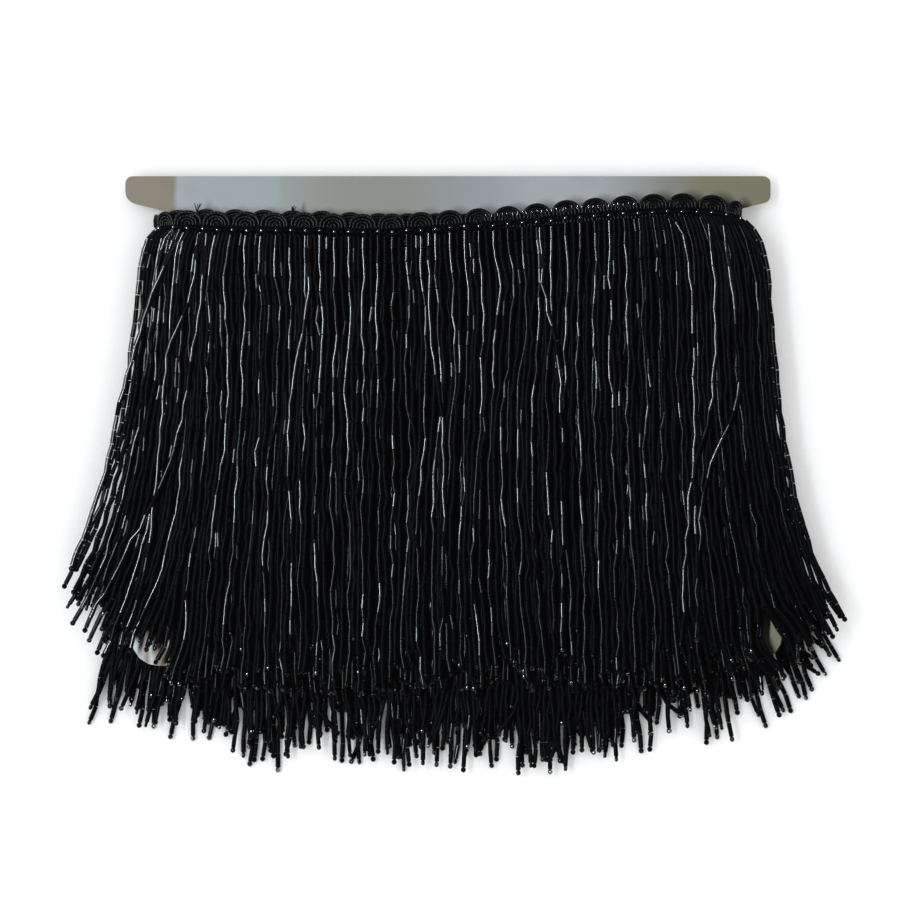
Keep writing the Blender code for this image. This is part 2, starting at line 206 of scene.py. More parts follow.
# Crowns of one pass: the front ones follow the table and come down late to the turns, and each
# hangs by its sag in the middle of a square bow
def headingTop(line, x):
    left, right = passEnds(line)
    share = np.minimum(np.where(x < 0, x / left, x / right), 1.0)
    base = np.full_like(x, trim["turnTop"])
    if line["side"] > 0:
        freeEnd = (x > 0) & outermost(line)
        fade = np.where(freeEnd, 1.0, 1 - share ** fall["endDropPower"])
        leftHalf = 0.5 - 0.5 * np.tanh(x / fall["peekFade"])
        peek = line["peekLeft"] * leftHalf + line["peekRight"] * (1 - leftHalf)
        base += fade * (smoothCurve(x, headingX, headingY) - trim["turnTop"] + peek)
    return base - line["sag"] * (1 - share ** fall["bowPower"])


def lowerEdge(line, x):
    return np.stack([x, headingTop(line, x) - trim["headingHeight"]], axis=1)


def rootPlaces(line):
    left, right = passEnds(line)
    x = np.linspace(left, right, fall["fineSteps"])
    run = lengthAlong(lowerEdge(line, x))
    gaps = round((run[-1] - 2 * trim["endMargin"]) / trim["strandPitch"])
    return np.interp(np.linspace(trim["endMargin"], run[-1] - trim["endMargin"], gaps + 1), run, x)


# A sine along each strand, of a random length and start
def ownWave(rng, run, lengths):
    count = len(run)
    return np.sin(fullTurn * (run / rng.uniform(*lengths, (count, 1)) + rng.random((count, 1))))


# Pushes x away from the middle of each parting: most beside it, and less further off, up and down
def parted(x, y, places):
    for place in places:
        level = np.argmin(np.abs(y - place["y"]), axis=1)[:, None]
        away = np.take_along_axis(x, level, axis=1) - place["x"]
        fade = np.exp(-np.abs(away) / place["fade"] - ((y - place["y"]) / place["drop"]) ** 2)
        x = x + np.sign(away) * place["reach"] * fade
    return x


# Paths of a pass's strands: out from the root, down, and out again towards the tip, with a slow
# shared wave and a smaller one of its own; y follows from the length already used
def strandPaths(line):
    roots = lowerEdge(line, rootPlaces(line))
    rng = np.random.default_rng(fall["seed"] + line["number"])
    count = len(roots)
    onLeft = roots[:, 0] < 0
    edge = np.where(onLeft, roots[:, 0] / roots[0, 0], roots[:, 0] / roots[-1, 0])
    spread = np.minimum(edge / fall["endFlat"][line["side"]], 1.0) ** fall["edgePower"]
    splay = np.where(onLeft, -line["left"], line["right"]) * spread
    short = np.where(onLeft, line["shortLeft"], line["shortRight"])
    short = short * edge ** fall["shortPower"][line["side"]]
    uneven = np.floor(rng.random(count) * fall["uneven"][line["side"]])
    bugles = line["bugles"] - np.round(short) - uneven
    if line["side"] > 0:
        bugles += (roots[:, 0] > fall["longerFrom"]) & (roots[:, 0] < fall["longerTo"])
    length = trim["seedLength"] + bugles * trim["bugleLength"] + trim["endSeedLength"]

    steps = fall["pathSteps"]
    s = np.linspace(0.0, 1.0, steps + 1)[None, :]
    kick, curl, lean = (
        np.where(onLeft, fall["leftSwing"][key], fall["rightSwing"][key])[:, None]
        for key in ("kick", "curl", "lean")
    )
    swing = kick * (1 - np.exp(-s / curl)) + (1 - kick) * (lean * s + (1 - lean) * s**3)
    start = ramp(s, 0.0, fall["waveStart"]) ** 2 * (1 - fall["endCalm"] * spread[:, None])
    run = s * length[:, None]
    wave = fall["ownWave"] * rng.uniform(*fall["ownWaveShares"], (count, 1))
    wave = wave * ownWave(rng, run, fall["ownWaveLengths"])
    wave += fall["ownRipple"] * ownWave(rng, run, fall["ownRippleLengths"])
    across = roots[:, :1]
    slow = np.sin(fullTurn * (run / fall["sharedWaveLength"] + across / fall["sharedWaveAcross"][0]))
    hills = np.sin(fullTurn * across / fall["sharedWaveAcross"][1] + line["side"])
    wave += fall["sharedWave"] * slow * hills
    x = roots[:, :1] + splay[:, None] * swing + start * wave
    if line["side"] > 0:
        x = parted(x, roots[:, 1:] - run, partings)
    step = (length / steps)[:, None]
    sideways = np.clip(np.diff(x, axis=1) / step, -fall["leanLimit"], fall["leanLimit"])
    zero = np.zeros((count, 1))
    x = roots[:, :1] + np.concatenate([zero, np.cumsum(step * sideways, axis=1)], axis=1)
    down = np.concatenate([zero, np.cumsum(step * np.sqrt(1 - sideways**2), axis=1)], axis=1)
    return np.stack([x, roots[:, 1:] - down], axis=2), bugles.astype(int), step[:, 0]


# How far strands turn aside towards their tips, a few of them much further than most: a power of
# the length past the bend. They rise by what the turn takes from their drop
def tipLeans(rng, run, step):
    most = density["leanMost"]
    side = density["tipLean"] * np.clip(rng.normal(0, 1, (len(step), 1)) ** 3, -most, most)
    aside = side * ramp(run, density["leanFrom"], 1.0) ** density["leanPower"]
    slope = np.clip(np.diff(aside, axis=1) / step[:, None], -fall["leanLimit"], fall["leanLimit"])
    rise = np.zeros_like(aside)
    rise[:, 1:] = np.cumsum(step[:, None] * (1 - np.sqrt(1 - slope**2)), axis=1)
    return np.stack([aside, rise], axis=2)


# The solids' strands and the ones between them, which are the means of their two neighbours in
# even shares, with a little swing of their own. They fill the hidden passes and the fans
def filledStrands(line):
    paths, bugles, steps = strandPaths(line)
    rng = np.random.default_rng(900 + line["number"])
    tipGap = np.abs(np.diff(paths[:, -1, 0]))
    wanted = np.maximum(density["least"][line["name"]], np.round(tipGap / density["tipPitch"]) - 1)
    if line["side"] > 0:
        atEdge = np.minimum(np.arange(len(wanted)), np.arange(len(wanted))[::-1]) < density["edge"]
        wanted = np.where(atEdge, np.maximum(wanted, density["edgeLeast"]), wanted)
    wanted = np.minimum(wanted, density["most"]).astype(int)
    gap = np.repeat(np.arange(len(wanted)), wanted)
    order = np.arange(len(gap)) - np.repeat(np.cumsum(wanted) - wanted, wanted)
    share = (order + 1) / (wanted[gap] + 1)
    between = paths[gap] * (1 - share)[:, None, None] + paths[gap + 1] * share[:, None, None]
    run = np.linspace(0.0, 1.0, paths.shape[1])[None, :]
    count = len(between)
    swing = density["swing"] * rng.normal(0, 1, (count, 1))
    between[:, :, 0] += swing * np.sin(run * rng.uniform(*density["swingRates"], (count, 1)))
    if line["side"] > 0:
        between[:, :, 0] = parted(between[:, :, 0], between[:, :, 1], partings[1:])
    shorter = np.minimum(bugles[gap], bugles[gap + 1]) - rng.integers(0, density["shorter"], count)
    step = (steps[gap] + steps[gap + 1]) / 2
    if line["side"] < 0:
        between += tipLeans(rng, run, step)
    parts = [(paths, bugles, steps), (between, shorter, step)]
    if outermost(line):
        parts.append(strayPaths())
    return [np.concatenate(kind) for kind in zip(*parts)]


# Strands of the outermost pass that have swung across their neighbours and lie strayLift above them:
# places they go through from root to tip
strays = [
    [(-103.3, -21.5), (-108.3, -56), (-115, -70), (-118, -90), (-121, -130), (-127, -170),
     (-134, -192)],
    [(-110, -20), (-116.7, -36), (-125.4, -57), (-132, -80), (-137.5, -102), (-143, -127),
     (-151, -150), (-159, -171)],
    [(-100, -21.5), (-103, -55), (-108.7, -90), (-111.7, -108), (-116.7, -124), (-123.3, -138),
     (-131, -152), (-141, -170), (-149, -186)],
    [(-58, -22.5), (-59, -60), (-64, -85), (-66, -110), (-65, -150), (-66, -200)],
    [(-8, -22), (-7, -70), (-3, -95), (-2, -130), (-3, -205)],
    [(38, -19), (40, -50), (46, -78), (47, -110), (47, -202)],
    [(114, -18), (118, -50), (120.5, -80), (120, -92), (115, -107), (110, -117), (106, -130),
     (104, -155), (103, -198)],
    [(88.3, -14.5), (96, -22), (100, -37.5), (101.5, -60), (102, -120), (104, -196)],
    [(108, -18), (111, -60), (110, -86), (107.9, -101), (105, -112), (101.7, -123), (99, -150),
     (97, -198)],
]
strayLift = 1.7


# Even steps along a smooth curve through each stray's places
def strayPaths():
    paths, bugles, steps = [], [], []
    for places in strays:
        places = np.array(places, dtype=float)
        mark = lengthAlong(places)
        fine = np.linspace(0.0, mark[-1], fall["fineSteps"])
        curve = np.stack([smoothCurve(fine, mark, places[:, k]) for k in range(2)], axis=1)
        run = lengthAlong(curve)
        even = np.linspace(0.0, run[-1], fall["pathSteps"] + 1)
        paths.append(np.stack([np.interp(even, run, curve[:, k]) for k in range(2)], axis=1))
        bugles.append(int((run[-1] - trim["seedLength"] - trim["endSeedLength"]) / trim["bugleLength"]))
        steps.append(run[-1] / fall["pathSteps"])
    return np.array(paths), np.array(bugles), np.array(steps)


# Fills a mesh from whole arrays: points in millimetres, face groups of equal side counts. Edges that
# are sharper than the crease stay sharp
def fillMesh(name, points, groups, material, crease=None):
    mesh = bpy.data.meshes.new(name)
    loops = np.concatenate([group.ravel() for group in groups]).astype(np.int32)
    sides = np.concatenate([np.full(len(group), group.shape[1]) for group in groups])
    starts = np.concatenate([[0], np.cumsum(sides)[:-1]]).astype(np.int32)
    mesh.vertices.add(len(points))
    mesh.vertices.foreach_set("co", (points * mm + origin).astype(np.float32).ravel())
    mesh.loops.add(len(loops))
    mesh.loops.foreach_set("vertex_index", loops)
    mesh.polygons.add(len(starts))
    mesh.polygons.foreach_set("loop_start", starts)
    mesh.update(calc_edges=True)
    mesh.polygons.foreach_set("use_smooth", np.ones(len(starts), dtype=bool))
    if crease is not None:
        mesh.set_sharp_from_angle(angle=math.radians(crease))
    mesh.materials.append(material)
    mesh.update()
    made = bpy.data.objects.new(name, mesh)
    bpy.context.scene.collection.objects.link(made)
    return made


def unit(vectors):
    return vectors / np.maximum(np.linalg.norm(vectors, axis=-1, keepdims=True), 1e-9)


# Two directions square to each axis, the first one level
def squareTo(axes):
    level = unit(np.cross(axes, skyward))
    return level, np.cross(level, axes)


# Directions round an axis: cosine * first + sine * second
def circle(angle, first, second):
    return np.cos(angle)[..., None] * first[..., None, :] + np.sin(angle)[..., None] * second[..., None, :]


def report(made):
    made.data.calc_loop_triangles()
    print(made.name, len(made.data.loop_triangles), "triangles")


# An operator and its reflected form, each as one Math node
def bothWays(operation):
    def plain(self, other):
        return self.math(operation, {0: self, 1: other})

    def reflected(self, other):
        return self.math(operation, {0: other, 1: self})

    return plain, reflected


# One output socket, on which Python's arithmetic adds Math nodes
class Wire:
    def __init__(self, finish, socket):
        self.finish = finish
        self.socket = socket

    def math(self, operation, inputs, clamp=False):
        settings = {"operation": operation, "use_clamp": clamp}
        return self.finish.add("ShaderNodeMath", settings, inputs)

    __add__, __radd__ = bothWays("ADD")
    __sub__, __rsub__ = bothWays("SUBTRACT")
    __mul__, __rmul__ = bothWays("MULTIPLY")
    __truediv__, __rtruediv__ = bothWays("DIVIDE")
    __pow__, __rpow__ = bothWays("POWER")

    def sine(self):
        return self.math("SINE", {0: self})

    def clamped(self):
        return self.math("MULTIPLY", {0: self, 1: 1.0}, True)

    def axis(self, index):
        return self.finish.add("ShaderNodeSeparateXYZ", None, {0: self}, index)


# One material being made: add() makes any node from its type, settings and inputs
class Finish:
    def __init__(self, name, constants):
        self.material = bpy.data.materials.new(name)
        self.material.use_nodes = True
        self.tree = self.material.node_tree
        self.shader = self.tree.nodes["Principled BSDF"]
        for socketName, value in constants.items():
            self.shader.inputs[socketName].default_value = value

    def add(self, kind, settings=None, inputs=None, output=0):
        node = self.tree.nodes.new(kind)
        for key, value in (settings or {}).items():
            if key == "stops":
                elements = node.color_ramp.elements
                while len(elements) < len(value):
                    elements.new(0.5)
                for element, (place, colour) in zip(elements, value):
                    element.position = place
                    element.color = colour
            else:
                setattr(node, key, value)
        self.feed(node, inputs or {})
        return Wire(self, node.outputs[output])

    def feed(self, node, inputs):
        for key, value in inputs.items():
            if isinstance(value, Wire):
                self.tree.links.new(value.socket, node.inputs[key])
            else:
                node.inputs[key].default_value = value

    def place(self):
        return self.add("ShaderNodeTexCoord", output=3)

    def noise(self, vector, scale, detail=2.0, roughness=0.5, output=0):
        inputs = {"Vector": vector, "Scale": scale, "Detail": detail, "Roughness": roughness}
        return self.add("ShaderNodeTexNoise", {"noise_dimensions": "3D"}, inputs, output)

    def stretched(self, vector, scale):
        return self.add("ShaderNodeMapping", None, {"Vector": vector, "Scale": scale})

    def mixed(self, factor, first, second):
        return self.add("ShaderNodeMix", {"data_type": "RGBA"}, {0: factor, 6: first, 7: second}, 2)

    def bump(self, height, strength, distance):
        inputs = {"Height": height, "Strength": strength, "Distance": distance}
        return self.add("ShaderNodeBump", None, inputs)

    def paint(self, **inputs):
        self.feed(self.shader, {key.replace("_", " "): value for key, value in inputs.items()})
        return self.material


print("materials")

glassLook = {
    "black": (0.0028, 0.0028, 0.0034, 1.0),
    "brown": (0.011, 0.008, 0.006, 1.0),
    "dust": (0.03, 0.028, 0.025, 1.0),
    "smooth": 0.05,
    "shadedDull": 0.13,
    "ior": 1.9,
    "seedIor": 3.2,
    "seedRoughness": 0.2,
    "shadedRoughness": 0.5,
    "shadedSpecular": 0.02,
    # Colour of a faint painted glow that lifts the blacks
    "paintedGlow": (0.0014, 0.0014, 0.0016, 1.0),
    "patchScale": 130.0,
    "dustScale": 420.0,
    "cloudScale": 900.0,
    "pitScale": 1500.0,
    "pitDepth": 0.0002,
}


# Black glass of drawn tubes. The attribute says how much a bead shines, and carries painted shade and
# painted
# highlight besides random differences: 0 is a dull black shaded copy, 1 a clear bright one, and 2 adds the
# coat for a brighter glint
def makeGlass(name, look):
    # A faint painted glow lifts the glass's blacks, though it is no lamp
    paintedGlow = {"Emission Color": look["paintedGlow"], "Emission Strength": 1.0}
    coat = {"Coat IOR": look["seedIor"], "Coat Roughness": look["seedRoughness"]}
    finish = Finish(name, {"IOR": look["ior"], **coat, **paintedGlow})
    shineOf = finish.add("ShaderNodeAttribute", {"attribute_name": "beadShine"}, None, 2)
    place = finish.place()
    cloud = finish.noise(place, look["cloudScale"], 2.0)
    patches = (finish.noise(place, look["patchScale"], 1.0) - 0.35).clamped()
    colour = finish.mixed(patches, look["black"], look["brown"])
    dust = ((finish.noise(place, look["dustScale"], 3.0) - 0.6) * 3.0).clamped()
    colour = finish.mixed(dust * 0.3, colour, look["dust"])
    duller = (1 - shineOf).clamped() * (look["shadedDull"] - look["smooth"])
    roughness = look["smooth"] + cloud * 0.05 + dust * 0.1 + duller
    normal = finish.bump(finish.noise(place, look["pitScale"], 2.0), 0.04, look["pitDepth"])
    coated = (shineOf - 1).clamped()
    finish.paint(Base_Color=colour, Roughness=roughness, Normal=normal, Coat_Weight=coated)
    # The dull black copy is painted shade: where the attribute is low a bead takes it in place of the
    # bright glass
    shadedDull = finish.add("ShaderNodeBsdfPrincipled", None, {
        "Base Color": look["black"], "Roughness": look["shadedRoughness"],
        "Specular IOR Level": look["shadedSpecular"], **paintedGlow,
    })
    bright = Wire(finish, finish.shader.outputs[0])
    share = (shineOf * 0.99 + 0.01).clamped()
    mixed = finish.add("ShaderNodeMixShader", None, {0: share, 1: shadedDull, 2: bright})
    finish.feed(finish.tree.nodes["Material Output"], {"Surface": mixed})
    return finish.material


gimpLook = {
    "dark": (0.003, 0.003, 0.0034, 1.0),
    "worn": (0.005, 0.0047, 0.0045, 1.0),
    "roughness": 0.3,
    "specular": 0.22,
    "twistsPerMetre": 700.0,
    "fibreScale": 2600.0,
    "fuzzScale": 300.0,
    "fibreDepth": 0.0002,
    # Colour of a faint painted glow that lifts the blacks
    "paintedGlow": (0.0012, 0.0012, 0.0013, 1.0),
}


# Black rayon cord: the twist is a sine of the length along the cord plus the turn round it, read
# from the piece's UV map, with fine fibres on top
def makeGimp(name, look):
    # A faint painted glow lifts the cord's blacks, though it is no lamp
    paintedGlow = {"Emission Color": look["paintedGlow"], "Emission Strength": 1.0}
    finish = Finish(name, {"Specular IOR Level": look["specular"], **paintedGlow})
    uv = finish.add("ShaderNodeUVMap", {"uv_map": "cordMap"})
    turns = uv.axis(0) * look["twistsPerMetre"] + uv.axis(1) * 2.0
    twist = (turns * fullTurn).sine() * 0.5 + 0.5
    place = finish.place()
    fibre = finish.noise(place, look["fibreScale"], 3.0, 0.6)
    fuzz = finish.noise(place, look["fuzzScale"], 2.0)
    worn = (twist * 0.5 + fibre * 0.4 - 0.25).clamped()
    colour = finish.mixed(worn, look["dark"], look["worn"])
    roughness = look["roughness"] + fuzz * 0.15 - twist * 0.08
    normal = finish.bump(twist * 0.7 + fibre * 0.5, 0.3, look["fibreDepth"])
    return finish.paint(Base_Color=colour, Roughness=roughness, Normal=normal)


boardLook = {
    "silver": (0.43, 0.45, 0.45, 1.0),
    "bright": (0.53, 0.54, 0.53, 1.0),
    "dim": (0.39, 0.39, 0.36, 1.0),
    "olive": (0.35, 0.33, 0.275, 1.0),
    "khaki": (0.295, 0.26, 0.16, 1.0),
    "brown": (0.275, 0.21, 0.13, 1.0),
    # A painted reflection in the lower left corner, and the painted shade of strands across it
    "paintedReflection": (0.74, 0.76, 0.72, 1.0),
    "tan": (0.29, 0.2, 0.12, 1.0),
    "stain": (0.22, 0.2, 0.15, 1.0),
    "fibre": (0.4, 0.4, 0.39, 1.0),
    "zones": (
        (0.0, "brown"), (0.11, "brown"), (0.117, "silver"), (0.247, "silver"), (0.262, "dim"),
        (0.34, "olive"), (0.42, "olive"), (0.56, "silver"), (0.61, "bright"), (0.7, "bright"),
        (0.8, "olive"), (0.85, "khaki"),
    ),
    "zonesFrom": -0.15,
    "zonesWidth": 0.3,
    "paintedReflectionBands": (
        (0.0, "paintedReflection"), (0.3, "paintedReflection"), (0.42, "tan"), (0.5, "paintedReflection"),
        (0.58, "tan"), (0.72, "tan"), (0.82, "paintedReflection"), (1.0, "tan"),
    ),
    "bandsFrom": -0.138,
    "bandsWidth": 0.024,
    "corner": (-0.105, -0.055),
    "cornerFade": (200.0, 60.0),
    "roughness": 0.42,
    "specular": 0.4,
    "coat": 0.15,
    "coatRoughness": 0.3,
    "stainScale": 38.0,
    "fibreScale": 900.0,
    "fibreDepth": 0.0004,
}


# Satin board with broad zones of tone from left to right, narrow bands of painted reflection crossed by
# painted shade of the strands in the lower left corner, a few stains and a fine fibre. A zone's place is
# the share of the way along zonesWidth, which wanders
def makeBoard(name, look):
    finish = Finish(name, {
        "Specular IOR Level": look["specular"], "Coat Weight": look["coat"],
        "Coat Roughness": look["coatRoughness"],
    })
    place = finish.place()
    x, y = place.axis(0), place.axis(1)
    wander = finish.noise(place, 14.0, 2.0) - 0.5
    along = (x + wander * 0.012 - look["zonesFrom"]) / look["zonesWidth"]
    across = (x + wander * 0.004 - look["bandsFrom"]) / look["bandsWidth"]
    # The lower left corner holds the bands of painted reflection and painted strand shade
    corner = ((look["corner"][1] - y) * look["cornerFade"][1]).clamped()
    corner = corner * ((look["corner"][0] - x) * look["cornerFade"][0]).clamped()
    zones, paintedReflectionBands = (
        finish.add("ShaderNodeValToRGB", {"stops": [(at, look[tone]) for at, tone in rows]}, {0: way})
        for rows, way in ((look["zones"], along), (look["paintedReflectionBands"], across))
    )
    base = finish.mixed(corner, zones, paintedReflectionBands)
    spots = ((finish.noise(place, look["stainScale"], 3.0) - 0.56) * 4.0).clamped()
    colour = finish.mixed(spots * 0.35, base, look["stain"])
    grain = finish.stretched(place, (1.0, 6.0, 1.0))
    fibre = finish.noise(grain, look["fibreScale"], 4.0, 0.65)
    colour = finish.mixed(fibre * 0.16, colour, look["fibre"])
    roughness = look["roughness"] + finish.noise(place, 60.0, 2.0) * 0.2
    uneven = finish.noise(place, 25.0, 1.0) * 0.8
    normal = finish.bump(fibre * 0.6 + uneven, 0.18, look["fibreDepth"])
    return finish.paint(Base_Color=colour, Roughness=roughness, Normal=normal)


beadGlass = makeGlass("blackBugleGlass", glassLook)
gimpCord = makeGimp("blackGimpCord", gimpLook)
threadLook = {**gimpLook, "roughness": 0.55, "specular": 0.05}
dullThread = makeGimp("blackSewingThread", threadLook)
greyBoard = makeBoard("greyCardBoard", boardLook)


# A ring profile carried to many places at once: every bead is centre + along * axis + radius *
# (cosine * side + sine * up), for all rings and sides together
def beadShells(centres, axes, lengths, radii, profile, sides, roll):
    ends, insets, widths = np.array(profile).T
    along = ends[None, :] * lengths[:, None] / 2 + insets[None, :]
    angle = fullTurn * (np.arange(sides)[None, :] / sides) + roll[:, None]
    reach = (radii[:, None] * widths[None, :])[:, :, None, None]
    points = centres[:, None, None, :] + along[:, :, None, None] * axes[:, None, None, :]
    return points + reach * circle(angle, *squareTo(axes))[:, None, :, :]


# Faces of such shells: quads between the rings, and a cap on each end ring
def shellFaces(count, rings, sides, start):
    first = start + np.arange(count)[:, None, None] * rings * sides
    ring = np.arange(rings - 1)[None, :, None] * sides
    side = np.arange(sides)[None, None, :]
    after = (side + 1) % sides
    base = first + ring
    quads = np.stack([base + side, base + sides + side, base + sides + after, base + after], axis=-1)
    corners = start + np.arange(count)[:, None] * rings * sides + np.arange(sides)[None, :]
    tops = corners[:, ::-1] + (rings - 1) * sides
    return quads.reshape(-1, 4), corners, tops


beads = {
    "bugleRadius": 1.0,
    "bugleGap": 0.16,
    "radiusSpread": 0.05,
    "seedRadius": 1.12,
    "seedSides": 8,
    "endRingRadius": 0.68,
    "endRingThickness": 0.6,
    "endRingStretch": 1.15,
    "endRingSink": 0.25,
    "endRingTilt": (0.5, 1.5),
    "endRingSides": (8, 6),
    "floorGap": 0.12,
    "crease": 61.5,
    "sideKink": 0.38,
    "kinkMost": 0.7,
    "heightKink": 0.08,
    "heave": 0.42,
    "heaveLengths": (34.0, 62.0),
    "lift": 0.12,
    "droop": 1.2,
    "droopReach": 25.0,
    "droopPower": 1.5,
    "looseAfter": 3.0,
    "looseLeast": 0.15,
    "startSpread": 1.3,
    "stretch": 0.015,
    "firstGap": 0.8,
    "aheadBy": 2.0,
}

# Share of the bugles that shine, by pass; the covered passes get less, which is painted shade. It comes
# and goes along a strand in two waves, whose rates are in radians a bead
shine = {
    "front_4": 0.48,
    "front_3": 0.24,
    "front_2": 0.17,
    "front_1": 0.12,
    "back_1": 0.07,
    "back_2": 0.06,
    "back_3": 0.07,
    "rates": ((0.15, 0.45), (0.7, 1.5)),
    "swings": (0.2, 0.16),
    "strandSpread": 0.08,
    "beadSpread": 0.15,
    "contrast": 3.5,
    # The faint lines that the front passes' own strands keep, and the bright root seeds, are painted
    # highlight
    "dimmest": (0.03, 0.16),
    "rootSeed": 2.0,
    "brightTips": 0.2,
    "brightTip": 1.6,
    "dullTip": 0.35,
}

# What a bead's place does to its shine, as painted shade and painted highlight. It shines less near the
# roots of the covered passes, by the counts of beads over which they brighten, at the right side, on the
# strands between the solids' own ones and at the foot of the outermost pass, and more at its top, at the
# left side and on the strays
shade = {
    "roots": {"front_3": (4, 11), "front_2": (8, 17), "front_1": (10, 22)},
    "rightFrom": 80.0,
    "rightTo": 112.0,
    "right": 0.6,
    "between": 0.45,
    "stray": 0.2,
    "top": 0.2,
    "foot": 0.17,
    "leftFrom": -104.0,
    "leftTo": -120.0,
    "left": 0.19,
}

# Bead profiles, each row: which end, distance past it, share of the bead's radius
simpleBugle = [(-1, 0.04, 1.0), (1, -0.04, 1.0)]
softBugle = [(-1, -0.01, 0.76), (-1, 0.08, 1.0), (1, -0.02, 1.0)]
roundSeed = [(-1, 0.0, 0.5), (-1, 0.35, 1.0), (1, -0.35, 1.0), (1, 0.0, 0.5)]

# Profile and count of sides of the bugles, finer in the passes that are seen best
fineBugles = {"front_4": (softBugle, 8), "front_3": (simpleBugle, 8)}
otherBugles = (simpleBugle, 6)


# Points along the strands at the given lengths, read from the paths by linear interpolation
def alongPaths(paths, steps, strand, length):
    place = np.clip(length / steps[strand], 0, paths.shape[1] - 1.001)
    low = place.astype(int)
    part = (place - low)[:, None]
    return paths[strand, low] * (1 - part) + paths[strand, low + 1] * part


# Where the beads of a pass meet: the path's points a bugle apart, kinked a little sideways, lifted by
# a sine of the length, and sunk where the fringe hangs over the card's sides. Roots are held tighter
def beadJoints(line, rng):
    paths, bugles, steps = filledStrands(line)
    count = len(paths)
    perStrand = bugles.max() + 1
    strand = np.repeat(np.arange(count), perStrand)
    index = np.tile(np.arange(perStrand), count)
    inside = index <= bugles[strand]
    begin = trim["seedLength"] + rng.uniform(0.0, beads["startSpread"], count)
    pitch = trim["bugleLength"] * (1 + beads["stretch"] * rng.uniform(-1.0, 1.0, count))
    length = begin[strand] + np.minimum(index, bugles[strand]) * pitch[strand]
    flat = alongPaths(paths, steps, strand, length)
    behind = alongPaths(paths, steps, strand, length - beads["aheadBy"])
    ahead = unit(alongPaths(paths, steps, strand, length + beads["aheadBy"]) - behind)
    normal = np.stack([-ahead[:, 1], ahead[:, 0]], axis=1)
    loose = np.clip(index / beads["looseAfter"], beads["looseLeast"], 1.0)
    most = beads["kinkMost"]
    kink = np.clip(rng.normal(0.0, beads["sideKink"], len(flat)), -most, most) * loose
    flat = flat + normal * kink[:, None]
    waves = np.repeat(rng.uniform(*beads["heaveLengths"], count), perStrand)
    phases = np.repeat(rng.uniform(0, fullTurn, count), perStrand)
    heave = beads["heave"] * (1 + np.sin(fullTurn * length / waves + phases))
    height = (heave + np.abs(rng.normal(0.0, beads["heightKink"], len(flat)))) * loose
    if outermost(line):
        height += strayLift * loose * (strand >= count - len(strays))
    past = np.maximum(np.abs(flat[:, 0]) - cardSize["halfWidth"], 0.0)
    z = passHeight(line) + beads["lift"] + height
    if line["side"] > 0:
        z -= beads["droop"] * ramp(past, 0.0, beads["droopReach"]) ** beads["droopPower"]
    joints = np.concatenate([flat, z[:, None]], axis=1)
    return joints.reshape(count, perStrand, 3), inside.reshape(count, perStrand), bugles, paths


# How much each bugle shines: luck by strand and bead, plus two waves along the strand, plus what its place
# adds or takes as painted shade and painted highlight. A bead is dull up to a luck of 1 less its pass's
# share, and brightens from there
def bugleShine(line, rng, places, order, strand, count):
    luck = 0.5 + rng.normal(0, shine["strandSpread"], count)[strand]
    luck += rng.normal(0, shine["beadSpread"], len(places))
    for (slowest, fastest), swing in zip(shine["rates"], shine["swings"]):
        rate = rng.uniform(slowest, fastest, count)[strand]
        luck += swing * np.sin(order * rate + rng.uniform(0, fullTurn, count)[strand])
    onLeft = ramp(places[:, 0], shade["leftFrom"], shade["leftTo"])
    onRight = ramp(places[:, 0], shade["rightFrom"], shade["rightTo"])
    own = strand < len(rootPlaces(line))
    stray = strand >= count - len(strays) if outermost(line) else np.zeros(len(strand), dtype=bool)
    if line["side"] > 0:
        luck += shade["left"] * onLeft - shade["right"] * onRight * ~stray
        luck -= shade["between"] * ~own
    if outermost(line):
        luck += shade["top"] - (shade["top"] + shade["foot"]) * order / line["bugles"]
        luck += (shade["stray"] + shade["between"]) * stray
    tones = np.clip((luck - (1 - shine[line["name"]])) * shine["contrast"], 0.0, 1.0)
    # The front passes' own strands keep at least a faint painted highlight
    dimmest = rng.uniform(*shine["dimmest"], count)[strand]
    if line["side"] > 0:
        tones = np.maximum(tones, dimmest * own)
    if line["name"] in shade["roots"]:
        tones *= ramp(order, *shade["roots"][line["name"]])
    return tones


def setShine(made, tones):
    attribute = made.data.attributes.new("beadShine", "FLOAT", "POINT")
    attribute.data.foreach_set("value", tones.astype(np.float32))


